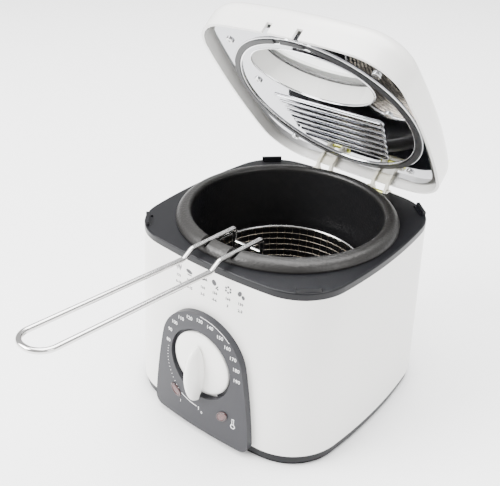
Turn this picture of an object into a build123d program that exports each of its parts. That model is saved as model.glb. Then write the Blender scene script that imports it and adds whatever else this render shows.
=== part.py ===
from build123d import *
import math
import os

# A small square deep fryer. Origin on the table under the middle of the housing,
# dial at the front (-Y), +Z up, millimetres. The lid stands open on its stop.

# Housing: plan half-widths (X) and half-depths (Y) of the bowed square
FOOT_HALF, FOOT_DEEP, FOOT_CORNER = 95.8, 97.7, 45.9
DECK_HALF, DECK_DEEP, DECK_CORNER = 90.8, 92.6, 40.8
SIDE_BOW = 422.0
SHELL_FOOT = 10.0
SHELL_TOP = 143.2
DECK_TOP = 148.7
SHELL_WALL = 2.4
BASE_INSET = 1.4

# Pot: radii of the revolved wall
LIP_R = 85.0
LIP_TOP = 156.3
POT_R = 72.0
POT_FLOOR = 42.0
POT_WALL = 1.8
DECK_HOLE_R = 80.0

# Control panel and dial
PANEL_PROUD = 5.5
PANEL_FOOT = 5.0
PANEL_ARCH_Z, PANEL_ARCH_R = 68.6, 39.0
PANEL_FOOT_HALF = 47.0
DIAL_Z = 65.0
RECESS_R, RECESS_Y = 28.6, -96.4
KNOB_R, KNOB_BACK, KNOB_RIM, KNOB_CROWN = 26.0, -97.0, -99.0, -102.0
GRIP_TOP_Y = -116.0
SHAFT_R = 3.0
LAMP_X, LAMP_Z = 23.0, 29.5
LAMP_LONG, LAMP_SHORT = 10.5, 6.3

# Lid, in its own plane: height 0 is the rim, closed rim height is LID_CLOSED_Z
LID_OPEN = 49.6
LID_CLOSED_Z = 152.8
HINGE_Y, HINGE_Z = 91.3, 145.0
LID_HALF, LID_DEEP, LID_CORNER, LID_BOW = 88.6, 92.1, 37.0, 485.0
LID_HIGH, LID_EDGE_R, LID_CROWN_R, SHOULDER_H = 33.0, 16.0, 620.0, 28.6
LID_WALL = 2.3
PLATE_H, PLATE_T = 6.4, 0.8
GASKET_IN, GASKET_OUT, GASKET_H = 74.5, 78.5, 4.6
WINDOW_Y, WINDOW_HALF, WINDOW_DEEP = -38.0, 52.0, 28.0
SLOT_X, SLOT_WIDE, SLOT_HIGH = 12.4, 4.9, 8.0
ARM_X, ARM_WIDE, ARM_SHEET = 27.5, 15.6, 2.4
HINGE_POCKET_X, HINGE_POCKET_WIDE = 26.0, 24.4
PIN_R = 2.0

# Basket and its wire handle
RIM_R, RIM_Z, RIM_WIRE = 63.5, 105.0, 1.2
FOOT_WIRE = 1.6
MESH_FLOOR_R, MESH_FLOOR_Z, MESH_T = 56.0, 45.8, 1.6
HANDLE_WIRE = 1.9
HANDLE_X = 12.4
HANDLE_END_Y = -240.0


def bowed_square(half, deep, bow, corner):
    """A closed outline of four bowed sides, tangent to four round corners."""
    cx, cy = half - corner, deep - corner
    for _ in range(30):
        cx = half - bow + math.sqrt((bow - corner) ** 2 - cy**2)
        cy = deep - bow + math.sqrt((bow - corner) ** 2 - cx**2)
    side = math.atan2(cy, cx - half + bow)
    end = math.atan2(cy - deep + bow, cx)
    side_x, side_y = half - bow + bow * math.cos(side), bow * math.sin(side)
    end_x, end_y = bow * math.cos(end), deep - bow + bow * math.sin(end)
    mid = (side + end) / 2
    mid_x, mid_y = cx + corner * math.cos(mid), cy + corner * math.sin(mid)
    with BuildSketch() as outline:
        with BuildLine():
            for sx, sy in ((1, 1), (-1, 1), (-1, -1), (1, -1)):
                ThreePointArc((sx * side_x, sy * side_y), (sx * mid_x, sy * mid_y), (sx * end_x, sy * end_y))
            for sx in (1, -1):
                ThreePointArc((sx * side_x, -side_y), (sx * half, 0), (sx * side_x, side_y))
            for sy in (1, -1):
                ThreePointArc((-end_x, sy * end_y), (0, sy * deep), (end_x, sy * end_y))
        make_face()
    return outline.sketch


def housing_section(z, grow=0.0):
    """The housing's outline at height z, grown by the given amount."""
    t = (z - SHELL_FOOT) / (SHELL_TOP - SHELL_FOOT)
    half = FOOT_HALF + t * (DECK_HALF - FOOT_HALF) + grow
    deep = FOOT_DEEP + t * (DECK_DEEP - FOOT_DEEP) + grow
    corner = FOOT_CORNER + t * (DECK_CORNER - FOOT_CORNER) + grow
    return bowed_square(half, deep, SIDE_BOW + grow, corner)


def front_plane(y, z=0.0):
    """An upright plane facing the front, X to the right and Z up."""
    return Plane(origin=(0, y, z), x_dir=(1, 0, 0), z_dir=(0, -1, 0))


def side_plane(x):
    """An upright plane facing +X, Y to the right and Z up."""
    return Plane(origin=(x, 0, 0), x_dir=(0, 1, 0), z_dir=(1, 0, 0))


# The open lid's plane: the closed rim plane turned about the hinge pin
open_rad = math.radians(LID_OPEN)
rim_dy, rim_dz = -HINGE_Y, LID_CLOSED_Z - HINGE_Z
lid_origin = (
    0,
    HINGE_Y + rim_dy * math.cos(open_rad) + rim_dz * math.sin(open_rad),
    HINGE_Z - rim_dy * math.sin(open_rad) + rim_dz * math.cos(open_rad),
)
lid_rim = Plane(origin=lid_origin, x_dir=(1, 0, 0), z_dir=(0, math.sin(open_rad), math.cos(open_rad)))


def lid_at(height):
    """The plane at a height above the lid's rim."""
    return lid_rim.offset(height)


def lid_side(x):
    """A plane across the lid, facing +X: lid depth to the right, lid height up."""
    return Plane(origin=lid_rim.from_local_coords((x, 0, 0)), x_dir=lid_rim.y_dir, z_dir=(1, 0, 0))


def lid_section(inset=0.0):
    """The lid's rim outline, drawn in by the given amount."""
    return bowed_square(LID_HALF - inset, LID_DEEP - inset, LID_BOW - inset, LID_CORNER - inset)


def panel_arch(inset=0.0):
    """The control panel's outline: a round arch on legs that flare to the foot."""
    r = PANEL_ARCH_R - inset
    lean = math.radians(11)
    hip_x, hip_z = r * math.cos(lean), PANEL_ARCH_Z + r * math.sin(lean)
    foot_x, foot_z = PANEL_FOOT_HALF - inset, PANEL_FOOT + inset
    with BuildSketch() as arch:
        with BuildLine():
            ThreePointArc((-hip_x, hip_z), (0, PANEL_ARCH_Z + r), (hip_x, hip_z))
            TangentArc((hip_x, hip_z), (foot_x, foot_z), tangent=(math.sin(lean), -math.cos(lean)))
            Line((foot_x, foot_z), (-foot_x, foot_z))
            TangentArc((-hip_x, hip_z), (-foot_x, foot_z), tangent=(-math.sin(lean), -math.cos(lean)))
        make_face()
        fillet(arch.vertices().group_by(Axis.Y)[0], radius=7)
    return arch.sketch


# ---------------------------------------------------------------- housing

# Base ring: the dark skirt that the housing stands on
with BuildPart() as base_ring:
    with BuildSketch():
        add(housing_section(SHELL_FOOT, -BASE_INSET - 1.6))
        add(housing_section(SHELL_FOOT, -BASE_INSET - 5.0), mode=Mode.SUBTRACT)
    extrude(amount=3)
    with BuildSketch(Plane.XY.offset(3)):
        add(housing_section(SHELL_FOOT, -BASE_INSET))
        add(housing_section(SHELL_FOOT, -BASE_INSET - 5.0), mode=Mode.SUBTRACT)
    extrude(amount=5.6)
    with BuildSketch(Plane.XY.offset(8.6)):
        add(housing_section(SHELL_FOOT, -BASE_INSET - 1.2))
        add(housing_section(SHELL_FOOT, -BASE_INSET - 5.0), mode=Mode.SUBTRACT)
    extrude(amount=SHELL_FOOT - 8.6)
base_ring.part.label = "base_ring"

# Base plate: closes the underside, with four screw holes and cooling slots
SCREW_X, SCREW_Y = 62.0, 64.0
with BuildPart() as base_plate:
    with BuildSketch(Plane.XY.offset(2.5)):
        add(housing_section(SHELL_FOOT, -BASE_INSET - 5.2))
        with GridLocations(2 * SCREW_X, 2 * SCREW_Y, 2, 2):
            Circle(1.8, mode=Mode.SUBTRACT)
        with GridLocations(0, 9, 1, 7):
            SlotOverall(52, 4, mode=Mode.SUBTRACT)
    extrude(amount=2)
base_plate.part.label = "base_plate"

# Four rubber pads under the plate, level with the ring's floor rim
with BuildPart() as rubber_feet:
    with BuildSketch():
        with GridLocations(146, 96, 2, 2):
            SlotOverall(18, 10, rotation=90)
    extrude(amount=2.5)
    fillet(rubber_feet.faces().group_by(Axis.Z)[0].edges(), radius=0.6)
rubber_feet.part.label = "rubber_feet"

# Outer shell: white moulding that flares towards the foot
with BuildPart() as outer_shell:
    for grow, keep in ((0.0, Mode.ADD), (-SHELL_WALL, Mode.SUBTRACT)):
        for z in (SHELL_FOOT, SHELL_TOP):
            with BuildSketch(Plane.XY.offset(z)):
                add(housing_section(z, grow))
        loft(mode=keep)
    with BuildSketch(front_plane(-80)):
        with Locations((0, DIAL_Z)):
            Circle(6)
        with Locations((-LAMP_X, LAMP_Z), (LAMP_X, LAMP_Z)):
            Circle(3.6)
    extrude(amount=30, mode=Mode.SUBTRACT)
    with BuildSketch(front_plane(110)):
        with Locations((0, 24)):
            Circle(8.2)
    extrude(amount=30, mode=Mode.SUBTRACT)
    with BuildSketch(front_plane(110)):
        with Locations((-HINGE_POCKET_X, SHELL_TOP - 2), (HINGE_POCKET_X, SHELL_TOP - 2)):
            Rectangle(HINGE_POCKET_WIDE, 14)
    extrude(amount=26, mode=Mode.SUBTRACT)
outer_shell.part.label = "outer_shell"

# Screw pillars that hold the base plate to the shell's floor flange
with BuildPart() as screw_pillars:
    with BuildSketch(Plane.XY.offset(4.5)):
        with GridLocations(2 * SCREW_X, 2 * SCREW_Y, 2, 2):
            Circle(4)
            Circle(1.4, mode=Mode.SUBTRACT)
    extrude(amount=24)
screw_pillars.part.label = "screw_pillars"

with BuildPart() as base_screws:
    with BuildSketch(Plane.XY.offset(0.7)):
        with GridLocations(2 * SCREW_X, 2 * SCREW_Y, 2, 2):
            Circle(3)
    extrude(amount=1.8)
    with BuildSketch(Plane.XY.offset(2.5)):
        with GridLocations(2 * SCREW_X, 2 * SCREW_Y, 2, 2):
            Circle(1.38)
    extrude(amount=12)
base_screws.part.label = "base_screws"

# Deck: the dark collar around the pot, with four corner lugs and a hinge recess
LUG_X, LUG_Y = 73.5, 76.5
with BuildPart() as deck:
    with BuildSketch(Plane.XY.offset(SHELL_TOP)):
        add(housing_section(SHELL_TOP))
    extrude(amount=DECK_TOP - SHELL_TOP)
    fillet(deck.faces().sort_by(Axis.Z)[-1].edges(), radius=1.2)
    with BuildSketch(Plane.XY.offset(SHELL_TOP)):
        add(housing_section(SHELL_TOP, -3.0))
    extrude(amount=3.0, mode=Mode.SUBTRACT)
    with BuildSketch(Plane.XY.offset(DECK_TOP)):
        for sx in (1, -1):
            for sy in (1, -1):
                with Locations(Location((sx * LUG_X, sy * LUG_Y), sx * sy * -45)):
                    Rectangle(17, 2.4)
    extrude(amount=3.0)
    with BuildSketch(Plane.XY.offset(DECK_TOP)):
        for sx in (1, -1):
            for sy in (1, -1):
                with Locations(Location((sx * (LUG_X - 2.2), sy * (LUG_Y - 2.2)), sx * sy * -45)):
                    SlotOverall(16, 2.0)
    extrude(amount=-1.2, mode=Mode.SUBTRACT)
    with BuildSketch(Plane.XY.offset(SHELL_TOP - 5)):
        Circle(DECK_HOLE_R)
        with Locations((-HINGE_POCKET_X, 95.0), (HINGE_POCKET_X, 95.0)):
            Rectangle(HINGE_POCKET_WIDE, 21)
    extrude(amount=12, mode=Mode.SUBTRACT)
deck.part.label = "deck"

# Pot: aluminium pan with a rounded lip that has two notches for the handle wires
pot_out = POT_R + POT_WALL
with BuildPart() as pot:
    with BuildSketch(Plane.XZ):
        with BuildLine():
            Polyline((0, POT_FLOOR), (POT_R - 16, POT_FLOOR))
            ThreePointArc(
                (POT_R - 16, POT_FLOOR),
                (POT_R - 5.7, POT_FLOOR + 3.9),
                (POT_R - 1.4, POT_FLOOR + 14),
            )
            Line((POT_R - 1.4, POT_FLOOR + 14), (73.4, LIP_TOP - 2.4))
            ThreePointArc((73.4, LIP_TOP - 2.4), (74.3, LIP_TOP - 0.7), (76.2, LIP_TOP))
            Line((76.2, LIP_TOP), (77.4, LIP_TOP))
            ThreePointArc((77.4, LIP_TOP), (82.7, LIP_TOP - 2.3), (LIP_R, DECK_TOP + 1.4))
            Polyline(
                (LIP_R, DECK_TOP + 1.4),
                (LIP_R, DECK_TOP + 0.3),
                (83.0, DECK_TOP + 0.3),
                (83.0, DECK_TOP + 1.2),
            )
            ThreePointArc((83.0, DECK_TOP + 1.2), (81.0, LIP_TOP - 3.6), (77.0, LIP_TOP - 1.9))
            Polyline(
                (77.0, LIP_TOP - 1.9),
                (75.6, LIP_TOP - 2.6),
                (pot_out - 1.4, POT_FLOOR + 14),
            )
            ThreePointArc(
                (pot_out - 1.4, POT_FLOOR + 14),
                (POT_R - 4.4, POT_FLOOR + 2.6),
                (POT_R - 16, POT_FLOOR - POT_WALL),
            )
            Polyline((POT_R - 16, POT_FLOOR - POT_WALL), (0, POT_FLOOR - POT_WALL), (0, POT_FLOOR))
        make_face()
    revolve(axis=Axis.Z)
    with BuildSketch(front_plane(-60)):
        with Locations((-HANDLE_X, LIP_TOP), (HANDLE_X, LIP_TOP)):
            SlotOverall(8.8, 8.0, rotation=90)
    extrude(amount=35, mode=Mode.SUBTRACT)
pot.part.label = "pot"

with BuildPart() as pot_seal:
    with BuildSketch(Plane.XY.offset(DECK_TOP)):
        Circle(LIP_R - 0.4)
        Circle(LIP_R - 3.4, mode=Mode.SUBTRACT)
    extrude(amount=0.3)
pot_seal.part.label = "pot_seal"

# Heat shield: sheet cylinder hung around the pot
with BuildPart() as heat_shield:
    with BuildSketch(Plane.XY.offset(30)):
        Circle(77.6)
        Circle(76.9, mode=Mode.SUBTRACT)
    extrude(amount=SHELL_TOP - 31)
heat_shield.part.label = "heat_shield"

# Heating element: a tubular ring under the pot floor, ends turned down
ELEMENT_R, ELEMENT_WIRE = 48.0, 3.2
element_z = POT_FLOOR - POT_WALL - ELEMENT_WIRE
with BuildPart() as heating_element:
    with BuildLine() as element_path:
        CenterArc((0, 0, element_z), ELEMENT_R, 110, 320)
    with BuildSketch(element_path.line ^ 0):
        Circle(ELEMENT_WIRE)
    sweep()
    with BuildSketch(Plane.XY.offset(element_z)):
        for turn in (110, 70):
            with Locations(
                (ELEMENT_R * math.cos(math.radians(turn)), ELEMENT_R * math.sin(math.radians(turn))),
            ):
                Circle(ELEMENT_WIRE)
    extrude(amount=-16)
heating_element.part.label = "heating_element"

with BuildPart() as element_clamp:
    with BuildSketch(Plane.XY.offset(element_z - ELEMENT_WIRE - 1.5)):
        Circle(58)
        Circle(38, mode=Mode.SUBTRACT)
        with Locations((0, 48)):
            Rectangle(52, 30, mode=Mode.SUBTRACT)
    extrude(amount=1.5)
element_clamp.part.label = "element_clamp"

with BuildPart() as clamp_nuts:
    with BuildSketch(Plane.XY.offset(element_z - ELEMENT_WIRE - 4.3)):
        with PolarLocations(54, 3, start_angle=-90):
            RegularPolygon(3.6, 6)
    extrude(amount=2.8)
clamp_nuts.part.label = "clamp_nuts"

# Thermal cut-out: a disc thermostat against the pot's floor
with BuildPart() as thermal_cutout:
    with BuildSketch(Plane.XY.offset(POT_FLOOR - POT_WALL)):
        Circle(8)
    extrude(amount=-3)
    with BuildSketch(Plane.XY.offset(POT_FLOOR - POT_WALL - 3)):
        Circle(6)
    extrude(amount=-6)
thermal_cutout.part.label = "thermal_cutout"

# Thermostat behind the dial, its bracket, and the feeler bulb on the pot's wall
with BuildPart() as thermostat_body:
    with BuildSketch(front_plane(-79.4)):
        with Locations((0, DIAL_Z)):
            RectangleRounded(27, 34, 2)
            Circle(SHAFT_R + 0.05, mode=Mode.SUBTRACT)
    extrude(amount=9)
    with BuildSketch(front_plane(-88.4)):
        with Locations((0, DIAL_Z)):
            Circle(5.4)
            Circle(SHAFT_R + 0.05, mode=Mode.SUBTRACT)
    extrude(amount=6.8)
thermostat_body.part.label = "thermostat_body"

with BuildPart() as thermostat_bracket:
    with BuildSketch(front_plane(-88.6)):
        with Locations((0, DIAL_Z)):
            RectangleRounded(44, 24, 3)
            Circle(5.6, mode=Mode.SUBTRACT)
            with Locations((-18, 0), (18, 0)):
                Circle(1.8, mode=Mode.SUBTRACT)
    extrude(amount=1.2)
thermostat_bracket.part.label = "thermostat_bracket"

with BuildPart() as feeler_bulb:
    with BuildLine() as bulb_path:
        CenterArc((0, 0, 52), 79.6, -75, 44)
    with BuildSketch(bulb_path.line ^ 0):
        Circle(1.7)
    sweep()
feeler_bulb.part.label = "feeler_bulb"

# Control panel: dark arch on the bowed front, with a dished seat for the knob
with BuildPart() as control_panel:
    with BuildSketch(front_plane(-80)):
        add(panel_arch())
    extrude(amount=40)
    for grow, keep in ((PANEL_PROUD, Mode.INTERSECT), (0.1, Mode.SUBTRACT)):
        for z in (-5, 115):
            with BuildSketch(Plane.XY.offset(z)):
                add(housing_section(z, grow))
        loft(mode=keep)
    with BuildSketch(front_plane(RECESS_Y)):
        with Locations((0, DIAL_Z)):
            Circle(RECESS_R)
    extrude(amount=20, mode=Mode.SUBTRACT)
    with BuildSketch(front_plane(-80)):
        with Locations((0, DIAL_Z)):
            Circle(6)
        for sx in (1, -1):
            with Locations(Location((sx * LAMP_X, LAMP_Z), sx * 45)):
                Ellipse(LAMP_LONG / 2, LAMP_SHORT / 2)
    extrude(amount=40, mode=Mode.SUBTRACT)
control_panel.part.label = "control_panel"


def lamp_lens(sx):
    """An oval lens that fills the panel's hole on one side."""
    with BuildPart() as lens:
        with BuildSketch(front_plane(-97.4)):
            with Locations(Location((sx * LAMP_X, LAMP_Z), sx * 45)):
                Ellipse(LAMP_LONG / 2 - 0.2, LAMP_SHORT / 2 - 0.2)
        extrude(amount=5.2)
        fillet(lens.faces().sort_by(Axis.Y)[0].edges(), radius=0.8)
    return lens.part


def neon_lamp(sx):
    """A small round lamp behind a lens, with its holder."""
    with BuildPart() as lamp:
        with BuildSketch(front_plane(-84)):
            with Locations((sx * LAMP_X, LAMP_Z)):
                Circle(3.0)
        extrude(amount=13)
    return lamp.part


power_lens = lamp_lens(-1)
power_lens.label = "power_lens"
heat_lens = lamp_lens(1)
heat_lens.label = "heat_lens"
power_lamp = neon_lamp(-1)
power_lamp.label = "power_lamp"
heat_lamp = neon_lamp(1)
heat_lamp.label = "heat_lamp"

# Mains entry at the back: bushing in the shell, and the terminal block
with BuildPart() as cord_bushing:
    with BuildSketch(front_plane(100.6, 24)):
        Circle(10.5)
    extrude(amount=2.8)
    fillet(cord_bushing.faces().sort_by(Axis.Y)[-1].edges(), radius=1.2)
    with BuildSketch(front_plane(97.8, 24)):
        Circle(8.0)
    extrude(amount=6.6)
    with BuildSketch(front_plane(101, 24)):
        Circle(3.6)
    extrude(amount=12, mode=Mode.SUBTRACT)
cord_bushing.part.label = "cord_bushing"

with BuildPart() as terminal_block:
    with BuildSketch(Plane.XY.offset(4.5)):
        with Locations((-30, 48)):
            Rectangle(34, 16)
    extrude(amount=12)
    with BuildSketch(Plane.XY.offset(16.5)):
        with Locations((-30, 48)):
            with GridLocations(11, 0, 3, 1):
                Circle(3)
    extrude(amount=-5, mode=Mode.SUBTRACT)
terminal_block.part.label = "terminal_block"

# Hinge bracket: two pairs of ears on a plate inside the rear of the shell
with BuildPart() as hinge_bracket:
    with BuildSketch(front_plane(88.4)):
        with Locations((0, 132)):
            Rectangle(76, 12)
    extrude(amount=2)
    for x in (-ARM_X - 9.8, -ARM_X + 8.2, ARM_X - 9.8, ARM_X + 8.2):
        with BuildSketch(side_plane(x)):
            with BuildLine():
                Polyline(
                    (86.4, 126),
                    (88.4, 126),
                    (88.4, 136),
                    (HINGE_Y + 4, HINGE_Z),
                    (HINGE_Y - 4, HINGE_Z),
                )
                Polyline((HINGE_Y - 4, HINGE_Z), (86.4, 140), (86.4, 126))
            make_face()
            with Locations((HINGE_Y, HINGE_Z)):
                Circle(4)
                Circle(PIN_R + 0.05, mode=Mode.SUBTRACT)
        extrude(amount=1.6)
hinge_bracket.part.label = "hinge_bracket"

PIN_HEAD_R, PIN_HEAD_T = 3.6, 1.8
with BuildPart() as hinge_pins:
    for sx in (1, -1):
        inner = sx * ARM_X - (9.8 if sx > 0 else -9.8)
        with BuildSketch(side_plane(inner - sx * PIN_HEAD_T)):
            with Locations((HINGE_Y, HINGE_Z)):
                RegularPolygon(PIN_HEAD_R, 6)
        extrude(amount=sx * PIN_HEAD_T)
        with BuildSketch(side_plane(inner)):
            with Locations((HINGE_Y, HINGE_Z)):
                Circle(PIN_R)
        extrude(amount=sx * 20.1)
hinge_pins.part.label = "hinge_pins"

# ---------------------------------------------------------------- lid

def lid_dome(inset, edge_r):
    """The lid's solid form: bowed-square walls, a round shoulder and a shallow crown."""
    with BuildPart() as crown:
        with BuildSketch(lid_at(SHOULDER_H - inset - 3)):
            add(lid_section(LID_EDGE_R - 4))
        extrude(amount=12)
        with Locations(lid_at(LID_HIGH - inset - LID_CROWN_R).location):
            Sphere(LID_CROWN_R, mode=Mode.INTERSECT)
    with BuildPart() as dome:
        with BuildSketch(lid_rim):
            add(lid_section(inset))
        extrude(amount=SHOULDER_H - inset)
        fillet(dome.faces().sort_by(Axis(lid_rim.origin, lid_rim.z_dir))[-1].edges(), radius=edge_r)
        add(crown.part)
    return dome.part


LID_SCREWS = [(sx * x, y) for x, y in ((61.7, -62.3), (58.0, -15.0), (55.6, 66.0)) for sx in (-1, 1)]

# What the lid shell leaves empty: the dome's inside, less six screw pillars
with BuildPart() as lid_cavity:
    add(lid_dome(LID_WALL, LID_EDGE_R - LID_WALL))
    with BuildSketch(lid_at(PLATE_H + PLATE_T)):
        with Locations(*LID_SCREWS):
            Circle(3.6)
    extrude(amount=LID_HIGH, mode=Mode.SUBTRACT)

# Lid shell: white dome with the window opening, handle slots and steam slots
with BuildPart() as lid_shell:
    add(lid_dome(0, LID_EDGE_R))
    add(lid_cavity.part, mode=Mode.SUBTRACT)
    with BuildSketch(lid_at(20)):
        with Locations((0, WINDOW_Y)):
            Ellipse(WINDOW_HALF - 2, WINDOW_DEEP - 2)
        with Locations((0, 46)):
            with GridLocations(0, 7, 1, 4):
                SlotOverall(44, 3)
    extrude(amount=20, mode=Mode.SUBTRACT)
    with BuildSketch(lid_rim):
        with Locations((-SLOT_X, -LID_DEEP), (SLOT_X, -LID_DEEP)):
            Rectangle(SLOT_WIDE, 10)
    extrude(amount=SLOT_HIGH, mode=Mode.SUBTRACT)
    with BuildSketch(lid_at(PLATE_H + PLATE_T)):
        with Locations(*LID_SCREWS):
            Circle(1.5)
    extrude(amount=9, mode=Mode.SUBTRACT)
lid_shell.part.label = "lid_shell"

# Lid plate: polished sheet that closes the dome, with the window and pressed louvres
LOUVRE_Y = [1 + 8.5 * i for i in range(7)]
with BuildPart() as lid_plate:
    with BuildSketch(lid_at(PLATE_H)):
        add(bowed_square(79.6, 88.0, LID_BOW, 30.0))
        with Locations((0, 90)):
            Rectangle(200, 13.4, mode=Mode.SUBTRACT)
        with Locations((0, WINDOW_Y)):
            Ellipse(WINDOW_HALF, WINDOW_DEEP, mode=Mode.SUBTRACT)
        with Locations(*LID_SCREWS):
            Circle(1.7, mode=Mode.SUBTRACT)
    extrude(amount=PLATE_T)
    for i, y in enumerate(LOUVRE_Y):
        with BuildSketch(lid_at(PLATE_H)):
            with Locations((0, y)):
                SlotOverall(2 * (48 - 1.6 * i), 2.4)
        extrude(amount=-1.4)
lid_plate.part.label = "lid_plate"

# Lid gasket: soft ring that meets the pot's lip, relieved where the handle wires pass
with BuildPart() as lid_gasket:
    with BuildSketch(lid_at(GASKET_H)):
        Circle(GASKET_OUT)
        Circle(GASKET_IN, mode=Mode.SUBTRACT)
    extrude(amount=PLATE_H - GASKET_H)
    with BuildSketch(lid_at(GASKET_H)):
        with Locations((-SLOT_X, -76), (SLOT_X, -76)):
            Rectangle(5.6, 12)
    extrude(amount=1.1, mode=Mode.SUBTRACT)
lid_gasket.part.label = "lid_gasket"

# Window: frame wall from the plate up to the glass, glass, and its seal under the dome
FRAME_WALL, GLASS_H, GLASS_T = 2.2, 23.0, 2.4


def window_ring(height, tall, out, inner):
    """An oval ring about the window, grown by out and inner from its opening."""
    with BuildPart() as ring:
        with BuildSketch(lid_at(height)):
            with Locations((0, WINDOW_Y)):
                Ellipse(WINDOW_HALF + out, WINDOW_DEEP + out)
                if inner is not None:
                    Ellipse(WINDOW_HALF + inner, WINDOW_DEEP + inner, mode=Mode.SUBTRACT)
        extrude(amount=tall)
    return ring.part


window_frame = window_ring(PLATE_H + PLATE_T, GLASS_H - PLATE_H - PLATE_T, 0.2 + FRAME_WALL, 0.2)
window_frame.label = "window_frame"
window_glass = window_ring(GLASS_H, GLASS_T, 1.6, None)
window_glass.label = "window_glass"
window_seal = window_ring(GLASS_H + GLASS_T, 1.2, 1.4, -1.6)
window_seal.label = "window_seal"

# Filter behind the louvres, in a tray that holds it up under the steam slots
with BuildPart() as filter_pad:
    with BuildSketch(lid_at(10)):
        with Locations((0, 32)):
            RectangleRounded(86, 54, 8)
    extrude(amount=7)
filter_pad.part.label = "filter_pad"

with BuildPart() as filter_tray:
    with BuildSketch(lid_at(8)):
        with Locations((0, 32)):
            RectangleRounded(90, 58, 10)
            RectangleRounded(86.4, 54.4, 8.2, mode=Mode.SUBTRACT)
    extrude(amount=12)
filter_tray.part.label = "filter_tray"

with BuildPart() as lid_screws:
    with BuildSketch(lid_at(PLATE_H - 1.4)):
        with Locations(*LID_SCREWS):
            Circle(3.2)
    extrude(amount=1.4)
    with BuildSketch(lid_at(PLATE_H)):
        with Locations(*LID_SCREWS):
            Circle(1.45)
    extrude(amount=8)
lid_screws.part.label = "lid_screws"


def hinge_arm(x):
    """A channel-section arm: two flanges with pin eyes, and a web along the back."""
    eye = (HINGE_Y, HINGE_Z - LID_CLOSED_Z)
    with BuildPart() as arm:
        for flange_x in (x - ARM_WIDE / 2, x + ARM_WIDE / 2 - ARM_SHEET):
            with BuildSketch(lid_side(flange_x)):
                with BuildLine():
                    Polyline(
                        (87.2, eye[1]),
                        (83.7, -1),
                        (83.7, 16),
                        (88.0, 16),
                        (88.0, -1.6),
                        (95.0, eye[1]),
                    )
                    Line((95.0, eye[1]), (87.2, eye[1]))
                make_face()
                with Locations(eye):
                    Circle(4.5)
                    Circle(PIN_R + 0.05, mode=Mode.SUBTRACT)
            extrude(amount=ARM_SHEET)
        with BuildSketch(lid_side(x - ARM_WIDE / 2)):
            with Locations((87.2, 7.5)):
                Rectangle(1.6, 17.0)
        extrude(amount=ARM_WIDE)
    return arm.part


hinge_arm_left = hinge_arm(-ARM_X)
hinge_arm_left.label = "hinge_arm_left"
hinge_arm_right = hinge_arm(ARM_X)
hinge_arm_right.label = "hinge_arm_right"

# ---------------------------------------------------------------- dial

# Grip: a tall fin in a teardrop plan whose point shows the setting
with BuildPart() as grip:
    with BuildSketch(front_plane(-98, DIAL_Z)):
        with BuildLine():
            ThreePointArc((-4.6, 13.0), (0, 17.5), (4.6, 13.0))
            Spline((4.6, 13.0), (6.2, -6), (1.3, -31.4))
            Line((1.3, -31.4), (-1.3, -31.4))
            Spline((-1.3, -31.4), (-6.2, -6), (-4.6, 13.0))
        make_face()
    extrude(amount=20)
    with BuildSketch(side_plane(0)):
        with BuildLine():
            ThreePointArc((-98, DIAL_Z + 17.6), (-110.5, DIAL_Z + 12.0), (GRIP_TOP_Y, DIAL_Z - 4))
            ThreePointArc((GRIP_TOP_Y, DIAL_Z - 4), (-113.4, DIAL_Z - 21), (-106.0, DIAL_Z - 31.6))
            Polyline(
                (-106.0, DIAL_Z - 31.6),
                (-102.6, DIAL_Z - 31.6),
                (-102.6, DIAL_Z - 24.5),
                (-98, DIAL_Z - 24.5),
                (-98, DIAL_Z + 17.6),
            )
        make_face()
    extrude(amount=20, both=True, mode=Mode.INTERSECT)

with BuildPart() as knob:
    with BuildSketch(side_plane(0)):
        with BuildLine():
            Polyline((KNOB_CROWN, DIAL_Z), (KNOB_BACK, DIAL_Z), (KNOB_BACK, DIAL_Z + KNOB_R))
            Line((KNOB_BACK, DIAL_Z + KNOB_R), (KNOB_RIM, DIAL_Z + KNOB_R))
            ThreePointArc(
                (KNOB_RIM, DIAL_Z + KNOB_R),
                (KNOB_CROWN + 0.9, DIAL_Z + KNOB_R * 0.6),
                (KNOB_CROWN, DIAL_Z),
            )
        make_face()
    revolve(axis=Axis((0, 0, DIAL_Z), (0, 1, 0)))
    add(grip.part)
    with BuildSketch(front_plane(KNOB_BACK + 1)):
        with Locations((0, DIAL_Z)):
            Circle(SHAFT_R)
    extrude(amount=6.6, mode=Mode.SUBTRACT)
knob.part.label = "knob"

with BuildPart() as dial_shaft:
    with BuildSketch(front_plane(-80.2)):
        with Locations((0, DIAL_Z)):
            Circle(SHAFT_R)
    extrude(amount=22.3)
dial_shaft.part.label = "dial_shaft"

with BuildPart() as knob_clip:
    with BuildSketch(front_plane(-95.6)):
        with Locations((0, DIAL_Z)):
            Circle(4.4)
            Circle(SHAFT_R, mode=Mode.SUBTRACT)
    extrude(amount=1.1)
knob_clip.part.label = "knob_clip"

# ---------------------------------------------------------------- basket

with BuildPart() as basket_mesh:
    with BuildSketch(Plane.XZ):
        with BuildLine():
            Polyline(
                (0, MESH_FLOOR_Z),
                (MESH_FLOOR_R - 4, MESH_FLOOR_Z),
                (MESH_FLOOR_R + 2, MESH_FLOOR_Z + 5),
                (RIM_R + MESH_T / 2, RIM_Z - RIM_WIRE),
                (RIM_R - MESH_T / 2, RIM_Z - RIM_WIRE),
                (MESH_FLOOR_R + 0.4, MESH_FLOOR_Z + 6),
                (MESH_FLOOR_R - 4.6, MESH_FLOOR_Z + MESH_T),
                (0, MESH_FLOOR_Z + MESH_T),
                (0, MESH_FLOOR_Z),
            )
        make_face()
    revolve(axis=Axis.Z)
basket_mesh.part.label = "basket_mesh"


def wire_ring(radius, z, wire):
    """A ring of the basket's frame wire."""
    with BuildPart() as ring:
        with Locations((0, 0, z)):
            Torus(radius, wire)
    return ring.part


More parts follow.
